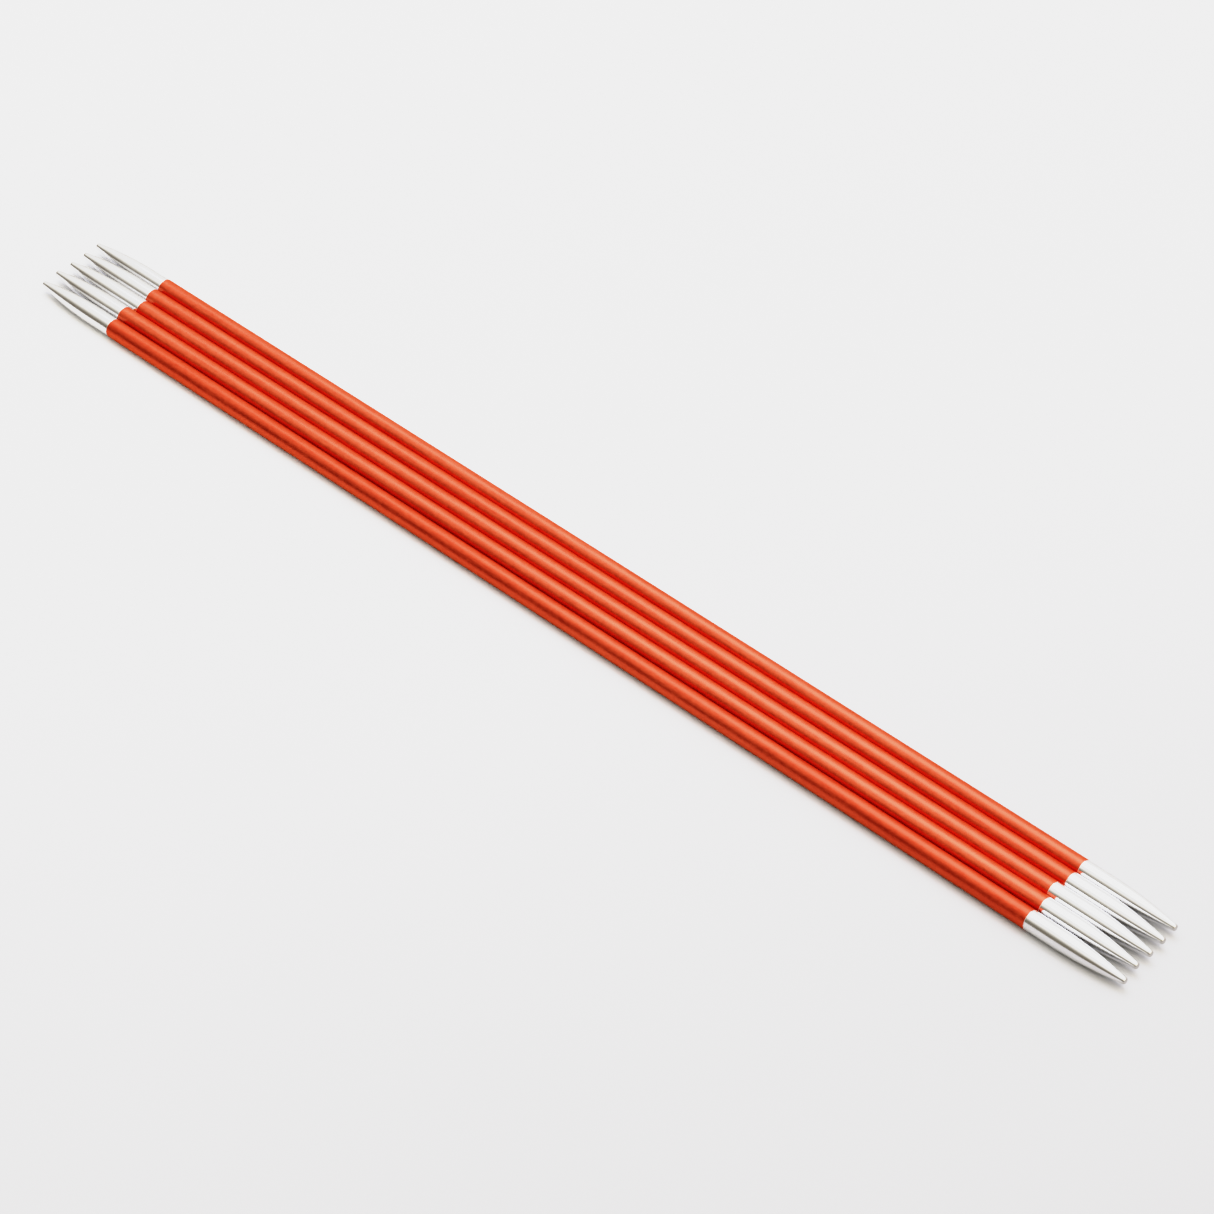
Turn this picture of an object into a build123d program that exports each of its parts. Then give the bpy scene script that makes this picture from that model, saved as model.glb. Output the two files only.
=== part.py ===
from build123d import *
import os

# A set of five loose double pointed needles, lying side by side on a table.
# Each needle is a drawn aluminium tube, the coloured shaft, with a solid plated
# point pressed into each end. Needle 1 is at the front (-Y) and needle 5 at the back.
# Millimetres. +X runs along the needles, from their left ends to their right ends,
# and +Z is up. The origin is on the table under the middle of the whole set.

# Driving dimensions: the needle
NEEDLE_DIAMETER = 2.75
NEEDLE_LENGTH = 200.0
TAPER_LENGTH = 11.0  # from the blunt end to where the point reaches full diameter
BLUNT_END_DIAMETER = 0.3 * NEEDLE_DIAMETER
BLUNT_END_ROUNDING = 0.2
SEAM_EDGE_BREAK = 0.04  # on both sides of the flush seam between shaft and point

# Driving dimensions: the press fit inside the shaft
BORE_DIAMETER = 1.5
BORE_LEAD_IN = 0.15
SPIGOT_INTERFERENCE = 0.01  # on diameter
SPIGOT_LENGTH = 8.0
SPIGOT_NOSE_CHAMFER = 0.25
RELIEF_GROOVE_WIDTH = 0.5  # next to the shoulder, so that the shoulder seats flat
RELIEF_GROOVE_DEPTH = 0.12

# Driving dimensions: the lay of the set, front needle first
SHAFT_LENGTHS = (170.0, 170.9, 169.0, 170.6, 170.8)  # their cut lengths differ a little
SHIFTS_ALONG_X = (0.9, 0.2, 0.0, -0.4, -0.9)
GAPS_BETWEEN_NEEDLES = (0.23, 0.03, 0.03, 0.03)

NEEDLE_RADIUS = NEEDLE_DIAMETER / 2
BORE_RADIUS = BORE_DIAMETER / 2
SPIGOT_RADIUS = (BORE_DIAMETER + SPIGOT_INTERFERENCE) / 2


def end_circles(solid, x, radius):
    """The solid's circular edges that lie at x and have this radius."""
    tolerance = 1e-4
    circles = solid.edges().filter_by(GeomType.CIRCLE)
    return [
        edge
        for edge in circles
        if abs(edge.arc_center.X - x) < tolerance and abs(edge.radius - radius) < tolerance
    ]


def make_shaft(length):
    """A plain round tube along X, centred on the origin, with broken edges."""
    along_x = Plane.YZ
    outside = extrude(along_x * Circle(NEEDLE_RADIUS), length / 2, both=True)
    bore = extrude(along_x * Circle(BORE_RADIUS), length / 2, both=True)
    tube = outside - bore
    for x in (-length / 2, length / 2):
        tube = chamfer(end_circles(tube, x, NEEDLE_RADIUS), SEAM_EDGE_BREAK)
        tube = chamfer(end_circles(tube, x, BORE_RADIUS), BORE_LEAD_IN)
    return tube


def make_point(length):
    """A point whose shoulder is at X = 0, with its blunt end at X = length.

    The visible part is a short cylinder, flush with the shaft, and then an ogive:
    an arc tangent to the cylinder that runs down to the blunt end. The spigot
    behind the shoulder is what the shaft's bore grips.
    """
    end_radius = BLUNT_END_DIAMETER / 2
    groove_radius = SPIGOT_RADIUS - RELIEF_GROOVE_DEPTH
    taper_start = (length - TAPER_LENGTH, NEEDLE_RADIUS)
    blunt_end = (length, end_radius)
    with BuildSketch() as section:
        with BuildLine():
            TangentArc(taper_start, blunt_end, tangent=(1, 0))
            Polyline(
                blunt_end,
                (length, 0),
                (-SPIGOT_LENGTH, 0),
                (-SPIGOT_LENGTH, SPIGOT_RADIUS),
                (-RELIEF_GROOVE_WIDTH, SPIGOT_RADIUS),
                (-RELIEF_GROOVE_WIDTH, groove_radius),
                (0, groove_radius),
                (0, NEEDLE_RADIUS),
                taper_start,
            )
        make_face()
    point = revolve(section.sketch, axis=Axis.X)
    point = fillet(end_circles(point, length, end_radius), BLUNT_END_ROUNDING)
    point = chamfer(end_circles(point, 0, NEEDLE_RADIUS), SEAM_EDGE_BREAK)
    return chamfer(end_circles(point, -SPIGOT_LENGTH, SPIGOT_RADIUS), SPIGOT_NOSE_CHAMFER)


def needle_rows():
    """The Y place of each needle's axis, front first, with the set centred on Y = 0."""
    rows = [0.0]
    for gap in GAPS_BETWEEN_NEEDLES:
        rows.append(rows[-1] + NEEDLE_DIAMETER + gap)
    middle = (rows[0] + rows[-1]) / 2
    return [row - middle for row in rows]


def build_set():
    """Every piece of every needle in its place, by name."""
    pieces = {}
    lay = zip(needle_rows(), SHAFT_LENGTHS, SHIFTS_ALONG_X)
    for number, (row, shaft_length, shift) in enumerate(lay, start=1):
        middle = Pos(shift, row, NEEDLE_RADIUS)
        seam = Pos(shaft_length / 2, 0, 0)
        point = make_point((NEEDLE_LENGTH - shaft_length) / 2)
        name = f"needle_{number}"
        pieces[f"{name}_shaft"] = middle * make_shaft(shaft_length)
        pieces[f"{name}_right_point"] = middle * seam * point
        pieces[f"{name}_left_point"] = middle * Rot(0, 0, 180) * seam * point
    return pieces


os.makedirs("parts", exist_ok=True)
for name, piece in build_set().items():
    export_step(piece, os.path.join("parts", name + ".step"))
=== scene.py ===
import math

import bmesh
import bpy
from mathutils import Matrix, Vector


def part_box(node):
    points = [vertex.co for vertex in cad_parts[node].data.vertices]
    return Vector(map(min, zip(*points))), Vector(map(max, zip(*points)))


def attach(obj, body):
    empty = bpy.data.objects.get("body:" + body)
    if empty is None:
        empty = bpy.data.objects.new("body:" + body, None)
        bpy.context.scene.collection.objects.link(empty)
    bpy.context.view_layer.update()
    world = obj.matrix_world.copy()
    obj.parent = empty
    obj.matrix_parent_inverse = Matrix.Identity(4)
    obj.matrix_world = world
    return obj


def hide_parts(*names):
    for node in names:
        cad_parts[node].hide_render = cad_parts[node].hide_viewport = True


# Five double pointed needles on a pale table top. The CAD pieces are turned parts, so each
# is replaced here by a finer lathe-turned mesh of the same shape and size: an anodised
# tube, and a plated point pressed into each of its ends. Metres, in the CAD model's frame.

MM = 0.001
NEEDLES = (1, 2, 3, 4, 5)

# How finely the sections are divided
SEGMENTS = 96  # round the axis
EDGE_STEPS = 5
OGIVE_STEPS = 44
RIM_STEPS = 8
END_RINGS = (0.6, 0.3, 0.0)  # of the flat blunt end's radius
TUBE_PITCH = 2.5 * MM
BORE_PITCH = 12 * MM
POINT_PITCH = 0.5 * MM
SPIGOT_PITCH = 1.5 * MM
SHARP_ANGLE = math.radians(30)

# Floats stored on the meshes for the materials
FROM_EDGE = "from_edge"  # mm along the needle from the nearest edge: a tube's worn end, or a point's blunt end, which is worn and darkened with painted shade
BATCH = "batch"  # how light this needle came out of the dye, 0 to 1
NEEDLE_BATCH = {1: 0.05, 2: 0.58, 3: 0.62, 4: 0.50, 5: 0.60}

# The section of a needle, as in the CAD model
BORE_RADIUS = 0.75 * MM
BORE_LEAD_IN = 0.15 * MM
SPIGOT_RADIUS = 0.755 * MM
SPIGOT_LENGTH = 8.0 * MM
SPIGOT_NOSE = 0.25 * MM
GROOVE_WIDTH = 0.5 * MM
GROOVE_DEPTH = 0.12 * MM
EDGE_BREAK = 0.04 * MM
FLAT_START = 3 * EDGE_BREAK  # a ring this close to the edge keeps the shading of the side flat
TAPER_LENGTH = 11.0 * MM
BLUNT_END_SHARE = 0.3  # of the needle's radius
BLUNT_END_ROUNDING = 0.2 * MM

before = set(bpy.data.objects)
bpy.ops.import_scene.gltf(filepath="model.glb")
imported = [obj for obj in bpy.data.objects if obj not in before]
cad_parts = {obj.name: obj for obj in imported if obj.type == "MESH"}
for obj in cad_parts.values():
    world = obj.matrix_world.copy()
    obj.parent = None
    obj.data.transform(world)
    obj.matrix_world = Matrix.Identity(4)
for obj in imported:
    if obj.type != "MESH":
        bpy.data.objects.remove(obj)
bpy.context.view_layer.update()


# ---------------------------------------------------------------- turned sections


def arc(centre, radius, start, end, steps):
    """Points on an arc in the (x, r) plane, with its angles in degrees from +x."""
    points = []
    for step in range(steps + 1):
        angle = math.radians(start + (end - start) * step / steps)
        points.append((centre[0] + radius * math.cos(angle), centre[1] + radius * math.sin(angle)))
    return points


def spaced(start, end, pitch):
    """Even places between start and end, at most pitch apart, without the two ends."""
    count = max(1, math.ceil(abs(end - start) / pitch))
    return [start + (end - start) * index / count for index in range(1, count)]


def tube_section(length, radius):
    """The closed section of a tube from x = 0 to x = length."""
    edge = radius - EDGE_BREAK
    section = arc((EDGE_BREAK, edge), EDGE_BREAK, 180, 90, EDGE_STEPS)
    section.append((FLAT_START, radius))
    section += [(x, radius) for x in spaced(FLAT_START, length - FLAT_START, TUBE_PITCH)]
    section.append((length - FLAT_START, radius))
    section += arc((length - EDGE_BREAK, edge), EDGE_BREAK, 90, 0, EDGE_STEPS)
    mouth = BORE_RADIUS + BORE_LEAD_IN
    section += [(length, mouth), (length - BORE_LEAD_IN, BORE_RADIUS)]
    section += [(x, BORE_RADIUS) for x in spaced(length - BORE_LEAD_IN, BORE_LEAD_IN, BORE_PITCH)]
    section += [(BORE_LEAD_IN, BORE_RADIUS), (0.0, mouth)]
    return section


def point_section(length, radius):
    """The open section of a point, from the spigot's nose on the axis to the blunt end.

    Its shoulder is at x = 0. The taper is an arc tangent to the cylinder behind it.
    """
    end_radius = BLUNT_END_SHARE * radius
    taper_start = length - TAPER_LENGTH
    drop = radius - end_radius
    ogive = (TAPER_LENGTH**2 + drop**2) / (2 * drop)
    ogive_centre = (taper_start, radius - ogive)
    rim_reach = ogive - BLUNT_END_ROUNDING
    rim_x = TAPER_LENGTH - BLUNT_END_ROUNDING
    rim_centre = (length - BLUNT_END_ROUNDING, ogive_centre[1] + math.sqrt(rim_reach**2 - rim_x**2))
    turn = math.degrees(math.asin(rim_x / rim_reach))

    groove = SPIGOT_RADIUS - GROOVE_DEPTH
    section = [(-SPIGOT_LENGTH, 0.0), (-SPIGOT_LENGTH, SPIGOT_RADIUS - SPIGOT_NOSE)]
    section.append((-SPIGOT_LENGTH + SPIGOT_NOSE, SPIGOT_RADIUS))
    section += [(x, SPIGOT_RADIUS) for x in spaced(-SPIGOT_LENGTH, -GROOVE_WIDTH, SPIGOT_PITCH)]
    section += [(-GROOVE_WIDTH, SPIGOT_RADIUS), (-GROOVE_WIDTH, groove), (0.0, groove)]
    section += arc((EDGE_BREAK, radius - EDGE_BREAK), EDGE_BREAK, 180, 90, EDGE_STEPS)
    section.append((FLAT_START, radius))
    section += [(x, radius) for x in spaced(FLAT_START, taper_start, POINT_PITCH)]
    section += arc(ogive_centre, ogive, 90, 90 - turn, OGIVE_STEPS)
    section += arc(rim_centre, BLUNT_END_ROUNDING, 90 - turn, 0, RIM_STEPS)[1:]
    section += [(length, rim_centre[1] * share) for share in END_RINGS]
    return section


def lathe(name, section, place, turned_round, closed, edges):
    """Turns a section about X into a mesh object. turned_round spins it half a turn about Z.

    edges are the places along the section that wear (at a point's blunt end, also darkened with
    painted shade), and every vertex stores how far it is from the nearest.
    """
    sign = -1.0 if turned_round else 1.0
    shape = bmesh.new()
    from_edge = shape.verts.layers.float.new(FROM_EDGE)
    rings = []
    for x, r in section:
        ring = []
        for index in range(SEGMENTS if r > 0.0 else 1):
            angle = math.tau * index / SEGMENTS
            offset = Vector((sign * x, sign * r * math.cos(angle), r * math.sin(angle)))
            corner = shape.verts.new(place + offset)
            corner[from_edge] = min(abs(x - edge) for edge in edges) / MM
            ring.append(corner)
        rings.append(ring)
    pairs = list(zip(rings, rings[1:]))
    if closed:
        pairs.append((rings[-1], rings[0]))
    for one, other in pairs:
        for index in range(SEGMENTS):
            following = (index + 1) % SEGMENTS
            corners = [one[index % len(one)], one[following % len(one)]]
            corners += [other[following % len(other)], other[index % len(other)]]
            shape.faces.new(dict.fromkeys(corners))
    bmesh.ops.recalc_face_normals(shape, faces=shape.faces)
    for face in shape.faces:
        face.smooth = True
    mesh = bpy.data.meshes.new(name)
    shape.to_mesh(mesh)
    shape.free()
    mesh.set_sharp_from_angle(angle=SHARP_ANGLE)
    made = bpy.data.objects.new(name, mesh)
    bpy.context.scene.collection.objects.link(made)
    return made


def store(made, name, value):
    """The same float on every vertex, for a material to read."""
    held = made.data.attributes.new(name, "FLOAT", "POINT")
    held.data.foreach_set("value", [value] * len(made.data.vertices))


# ---------------------------------------------------------------- materials


def new_material(name):
    """A material with nodes, its node tree, and its Principled shader."""
    material = bpy.data.materials.new(name)
    material.use_nodes = True
    tree = material.node_tree
    return material, tree, tree.nodes["Principled BSDF"]


def node(tree, kind, **values):
    """A node of this kind, with its inputs given by name."""
    made = tree.nodes.new(kind)
    for key, value in values.items():
        made.inputs[key].default_value = value
    return made


def noise(tree, coordinates, scale, detail, roughness):
    """Noise over the object's own coordinates, with a scale for each axis, in cycles per mm."""
    stretch = tree.nodes.new("ShaderNodeMapping")
    stretch.inputs["Scale"].default_value = [value / MM for value in scale]
    texture = node(tree, "ShaderNodeTexNoise", Scale=1.0, Detail=detail, Roughness=roughness)
    tree.links.new(coordinates, stretch.inputs["Vector"])
    tree.links.new(stretch.outputs["Vector"], texture.inputs["Vector"])
    return texture.outputs["Fac"]


def ramp(tree, factor, *stops):
    """A colour ramp over factor, from stops of (position, colour)."""
    made = tree.nodes.new("ShaderNodeValToRGB")
    elements = made.color_ramp.elements
    while len(elements) < len(stops):
        elements.new(0.5)
    for element, (position, colour) in zip(elements, stops):
        element.position = position
        element.color = (*colour, 1.0)
    tree.links.new(factor, made.inputs["Fac"])
    return made.outputs["Color"]


def spread(tree, factor, low, high, from_low=0.25, from_high=0.75):
    """Factor mapped from its range, by default the usual one of noise, to low..high."""
    made = tree.nodes.new("ShaderNodeMapRange")
    ends = (("From Min", from_low), ("From Max", from_high), ("To Min", low), ("To Max", high))
    for key, value in ends:
        made.inputs[key].default_value = value
    tree.links.new(factor, made.inputs["Value"])
    return made.outputs["Result"]


# The Mix node's sockets for colours, which share their names with its other sockets
MIX_FACTOR, MIX_A, MIX_B, MIX_RESULT = 0, 6, 7, 2


def mixed(tree, factor, one, other, blend="MIX"):
    """One colour or socket mixed with another by factor, a socket or a number."""
    made = tree.nodes.new("ShaderNodeMix")
    made.data_type = "RGBA"
    made.blend_type = blend
    for key, value in ((MIX_FACTOR, factor), (MIX_A, one), (MIX_B, other)):
        if isinstance(value, bpy.types.NodeSocket):
            tree.links.new(value, made.inputs[key])
        else:
            made.inputs[key].default_value = value if key == MIX_FACTOR else (*value, 1.0)
    return made.outputs[MIX_RESULT]


def added(tree, one, other):
    """The sum of two sockets."""
    made = tree.nodes.new("ShaderNodeMath")
    made.operation = "ADD"
    tree.links.new(one, made.inputs[0])
    tree.links.new(other, made.inputs[1])
    return made.outputs["Value"]


def along(tree, vector, direction):
    """How far a vector reaches in this direction."""
    made = tree.nodes.new("ShaderNodeVectorMath")
    made.operation = "DOT_PRODUCT"
    made.inputs[1].default_value = direction
    tree.links.new(vector, made.inputs[0])
    return made.outputs["Value"]


def attribute(tree, name):
    """A float that lathe() or build_needles() stored on the mesh."""
    made = tree.nodes.new("ShaderNodeAttribute")
    made.attribute_name = name
    return made.outputs["Fac"]


EDGE_PATCHES = 0.03  # mm that the border of an edge band wanders either way


def patchy_edge_mask(tree, patches, full, none):
    """1 nearer the edge than full, 0 further than none, in mm, with a patchy border between."""
    wander = spread(tree, patches, -EDGE_PATCHES, EDGE_PATCHES)
    reach = added(tree, attribute(tree, FROM_EDGE), wander)
    return spread(tree, reach, 1.0, 0.0, full, none)


DYE_DEEP = (0.637, 0.088, 0.041)
DYE = (0.716, 0.117, 0.057)
DYE_LIGHT = (0.792, 0.149, 0.074)
DYE_UNEVENNESS = 0.25  # either way, on the scale of NEEDLE_BATCH
STREAK = (0.80, 0.68, 0.68)
PIT = (0.80, 0.68, 0.66)
CLEAN = (1.0, 1.0, 1.0)
BARE_ALUMINIUM = (0.80, 0.76, 0.72)


def anodised_material():
    """Red-orange anodised aluminium, drawn lengthwise: a clear oxide skin over a dyed metal."""
    material, tree, shader = new_material("anodised_shaft")
    place = tree.nodes.new("ShaderNodeTexCoord").outputs["Object"]
    drawn = noise(tree, place, (0.12, 2.4, 2.4), 5.0, 0.7)
    uneven = noise(tree, place, (0.02, 0.4, 0.4), 2.0, 0.5)
    speckle = noise(tree, place, (1.2, 2.4, 2.4), 3.0, 0.7)
    batch = attribute(tree, BATCH)
    shade = added(tree, batch, spread(tree, uneven, -DYE_UNEVENNESS, DYE_UNEVENNESS))
    tone = ramp(tree, shade, (0.0, DYE_DEEP), (0.5, DYE), (1.0, DYE_LIGHT))
    streaks = ramp(tree, spread(tree, drawn, 0.0, 1.0), (0.0, STREAK), (1.0, CLEAN))
    pits = ramp(tree, spread(tree, speckle, 0.0, 1.0), (0.0, PIT), (1.0, CLEAN))
    dyed = mixed(tree, 1.0, mixed(tree, 1.0, tone, streaks, "MULTIPLY"), pits, "MULTIPLY")
    edge_mask = patchy_edge_mask(tree, speckle, 0.0, 0.09)
    tree.links.new(mixed(tree, edge_mask, dyed, BARE_ALUMINIUM), shader.inputs["Base Color"])
    rough = added(tree, spread(tree, drawn, 0.36, 0.46), spread(tree, speckle, -0.05, 0.05))
    tree.links.new(rough, shader.inputs["Roughness"])
    bump = node(tree, "ShaderNodeBump", Strength=0.3, Distance=0.004 * MM)
    tree.links.new(drawn, bump.inputs["Height"])
    tree.links.new(bump.outputs["Normal"], shader.inputs["Normal"])
    shader.inputs["Metallic"].default_value = 1.0
    shader.inputs["Coat Weight"].default_value = 0.08
    shader.inputs["Specular Tint"].default_value = (1.0, 0.6, 0.45, 1.0)
    shader.inputs["Coat Roughness"].default_value = 0.22
    shader.inputs["Coat IOR"].default_value = 1.5
    return material


NICKEL = (0.735, 0.73, 0.725)
NICKEL_DULL = (0.69, 0.68, 0.67)
# Colour of a point's blunt end: partly worn plate, partly painted shade for the shadow the end
# reflects
WORN_AND_SHADED_TIP = (0.50, 0.475, 0.44)


def plated_material():
    """Bright nickel plate over fine turning marks, with a darker blunt end that is partly wear and
    partly painted shade.
    """
    material, tree, shader = new_material("plated_point")
    place = tree.nodes.new("ShaderNodeTexCoord").outputs["Object"]
    turned = noise(tree, place, (7.0, 0.0, 0.0), 3.0, 0.7)
    haze = noise(tree, place, (0.5, 0.8, 0.8), 3.0, 0.6)
    rough = added(tree, spread(tree, turned, 0.15, 0.19), spread(tree, haze, -0.02, 0.03))
    tree.links.new(rough, shader.inputs["Roughness"])
    tone = ramp(tree, spread(tree, haze, 0.0, 1.0), (0.0, NICKEL_DULL), (1.0, NICKEL))
    # The blunt end's darker colour: partly worn plate, partly painted shade for the shadow it
    # reflects
    edge_mask = patchy_edge_mask(tree, haze, 0.05, 0.45)
    tree.links.new(mixed(tree, edge_mask, tone, WORN_AND_SHADED_TIP), shader.inputs["Base Color"])
    bump = node(tree, "ShaderNodeBump", Strength=0.2, Distance=0.001 * MM)
    tree.links.new(turned, bump.inputs["Height"])
    tree.links.new(bump.outputs["Normal"], shader.inputs["Normal"])
    shader.inputs["Metallic"].default_value = 1.0
    return material


TABLE_HALF_WIDTH = 1.6
SHADE_ALONG = (-0.89, 0.45, 0.0)  # the way in which the table's painted light gets brighter
SHADE_REACH = 0.14  # how far from the middle the tones at 0.1 and 0.9 lie
# The table's tones along its painted light falloff, from the shaded front right to the lit back
# left
TABLE_TONES = (
    (0.10, (0.375, 0.371, 0.390)),
    (0.25, (0.430, 0.426, 0.447)),
    (0.50, (0.555, 0.551, 0.578)),
    (0.90, (0.720, 0.720, 0.735)),
)


def table_material():
    """A plain pale matt table top, with painted shade: darker towards the front and right."""
    material, tree, shader = new_material("table_top")
    place = tree.nodes.new("ShaderNodeTexCoord").outputs["Object"]
    cloudy = noise(tree, place, (0.012, 0.012, 0.012), 2.0, 0.5)
    # Painted light falloff: the table's colour gets darker towards the front and right
    painted_falloff = spread(tree, along(tree, place, SHADE_ALONG), 0.1, 0.9, -SHADE_REACH, SHADE_REACH)
    mottled = added(tree, painted_falloff, spread(tree, cloudy, -0.03, 0.03))
    tone = ramp(tree, mottled, *TABLE_TONES)
    tree.links.new(tone, shader.inputs["Base Color"])
    shader.inputs["Roughness"].default_value = 0.8
    shader.inputs["Specular IOR Level"].default_value = 0.2
    return material


# ---------------------------------------------------------------- the needles


def build_needles():
    """A tube and two points in the place of each needle's three CAD nodes."""
    shaft_finish = anodised_material()
    point_finish = plated_material()
    for number in NEEDLES:
        body = f"needle_{number}"
        low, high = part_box(f"{body}_shaft")
        radius = (high.z - low.z) / 2
        axis_y = (high.y + low.y) / 2
        axis_z = (high.z + low.z) / 2

        left_seam = Vector((low.x, axis_y, axis_z))
        length = high.x - low.x
        section = tube_section(length, radius)
        tube = lathe(f"{body}_tube", section, left_seam, False, True, (0.0, length))
        store(tube, BATCH, NEEDLE_BATCH[number])
        tube.data.materials.append(shaft_finish)
        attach(tube, body)
        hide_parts(f"{body}_shaft")

        right_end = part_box(f"{body}_right_point")[1].x
        left_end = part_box(f"{body}_left_point")[0].x
        for side, seam, end in (("right", high.x, right_end), ("left", low.x, left_end)):
            reach = abs(end - seam)
            place = Vector((seam, axis_y, axis_z))
            section = point_section(reach, radius)
            tip = lathe(f"{body}_{side}_tip", section, place, side == "left", False, (reach,))
            tip.data.materials.append(point_finish)
            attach(tip, body)
            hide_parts(f"{body}_{side}_point")


# ---------------------------------------------------------------- table, light, camera

LENS = 146.8  # mm, on a sensor 36 mm wide
CAMERA_AZIMUTH = math.radians(45.32)
CAMERA_ELEVATION = math.radians(39.21)
CAMERA_DISTANCE = 642.9 * MM
CAMERA_TARGET = Vector((6.57 * MM, 1.18 * MM, 0.0))

# The room: stops of (how far a direction points to that side, colour)
BRIGHT_SIDE = (0.0, 0.36, 0.93)
DOME_STRENGTH = 2.0
DOME = (
    (0.00, (0.120, 0.106, 0.084)),
    (0.10, (0.140, 0.126, 0.102)),
    (0.30, (0.350, 0.328, 0.285)),
    (0.46, (0.650, 0.635, 0.605)),
    (0.62, (0.700, 0.695, 0.685)),
    (1.00, (0.700, 0.697, 0.700)),
)
FILL_SIDE = (0.55, -0.12, 0.83)
FILL = ((0.75, (0.0, 0.0, 0.0)), (0.97, (1.75, 1.64, 1.27)))
BACKDROP = (0.70, 0.70, 0.69)

SOFTBOX_SIDE = (-0.28, 0.28, 0.84)
SOFTBOX_DISTANCE = 0.75
SOFTBOX_SIZE = (0.56, 0.54)
SOFTBOX_WATTS = 3.9
SOFTBOX_COLOUR = (0.86, 0.92, 1.16)


def look_at(made, target):
    """Turns a camera or light towards a point."""
    made.rotation_euler = (target - made.location).to_track_quat("-Z", "Y").to_euler()


def build_table():
    """A flat table top at z = 0, which isn't part of the object."""
    half = TABLE_HALF_WIDTH
    mesh = bpy.data.meshes.new("table_top")
    corners = [(-half, -half, 0), (half, -half, 0), (half, half, 0), (-half, half, 0)]
    mesh.from_pydata(corners, [], [(0, 1, 2, 3)])
    table = bpy.data.objects.new("table_top", mesh)
    table.data.materials.append(table_material())
    bpy.context.scene.collection.objects.link(table)


def build_softbox():
    """The main light, above and behind the needles, out of the camera's sight."""
    light = bpy.data.lights.new("softbox", "AREA")
    light.shape = "RECTANGLE"
    light.size, light.size_y = SOFTBOX_SIZE
    light.energy = SOFTBOX_WATTS
    light.color = SOFTBOX_COLOUR
    made = bpy.data.objects.new("softbox", light)
    made.location = Vector(SOFTBOX_SIDE).normalized() * SOFTBOX_DISTANCE
    look_at(made, Vector((0, 0, 0)))
    made.visible_camera = False
    bpy.context.scene.collection.objects.link(made)


def build_world():
    """A pale room: bright behind and above, dim near the horizon on the camera's side."""
    world = bpy.data.worlds.new("studio")
    world.use_nodes = True
    tree = world.node_tree
    background = tree.nodes["Background"]
    direction = tree.nodes.new("ShaderNodeTexCoord").outputs["Generated"]
    dome = ramp(tree, along(tree, direction, Vector(BRIGHT_SIDE).normalized()), *DOME)
    fill = ramp(tree, along(tree, direction, Vector(FILL_SIDE).normalized()), *FILL)
    lit = mixed(tree, 1.0, dome, fill, "ADD")
    seen = tree.nodes.new("ShaderNodeLightPath").outputs["Is Camera Ray"]
    tree.links.new(mixed(tree, seen, lit, BACKDROP), background.inputs["Color"])
    background.inputs["Strength"].default_value = DOME_STRENGTH
    bpy.context.scene.world = world


def allow_deep_reflections():
    """Light between two touching needles bounces many times before it leaves."""
    cycles = bpy.context.scene.cycles
    cycles.max_bounces = 16
    cycles.glossy_bounces = 12
    cycles.blur_glossy = 4.0
    cycles.sample_clamp_indirect = 4.0


def build_camera():
    """A level camera to the front right, at a long lens."""
    camera = bpy.data.cameras.new("camera")
    camera.sensor_width = 36.0
    camera.lens = LENS
    made = bpy.data.objects.new("camera", camera)
    level = math.cos(CAMERA_ELEVATION)
    back = Vector(
        (
            math.sin(CAMERA_AZIMUTH) * level,
            -math.cos(CAMERA_AZIMUTH) * level,
            math.sin(CAMERA_ELEVATION),
        )
    )
    made.location = CAMERA_TARGET + CAMERA_DISTANCE * back
    look_at(made, CAMERA_TARGET)
    bpy.context.scene.collection.objects.link(made)
    bpy.context.scene.camera = made


# The film's response: stops of (light in the scene, light shown)
FILM = (
    (0.00, 0.000),
    (0.02, 0.006),
    (0.05, 0.027),
    (0.09, 0.070),
    (0.15, 0.140),
    (0.22, 0.217),
    (0.30, 0.300),
    (0.62, 0.620),
    (0.85, 0.780),
    (1.15, 0.838),
    (1.60, 0.860),
    (2.00, 0.868),
)
FILM_RANGE = 2.0


def set_film_response():
    """Highlights roll off softly, as in a camera, and do not burn out to plain white."""
    view = bpy.context.scene.view_settings
    view.view_transform = "Standard"
    view.use_curve_mapping = True
    mapping = view.curve_mapping
    mapping.use_clip = False
    mapping.extend = "HORIZONTAL"
    mapping.white_level = (FILM_RANGE,) * 3
    points = mapping.curves[3].points
    while len(points) < len(FILM):
        points.new(0.5, 0.5)
    for point, (scene_light, shown) in zip(points, FILM):
        point.location = (scene_light / FILM_RANGE, shown)
    mapping.update()


build_camera()
build_needles()
build_table()
build_world()
allow_deep_reflections()
build_softbox()
set_film_response()
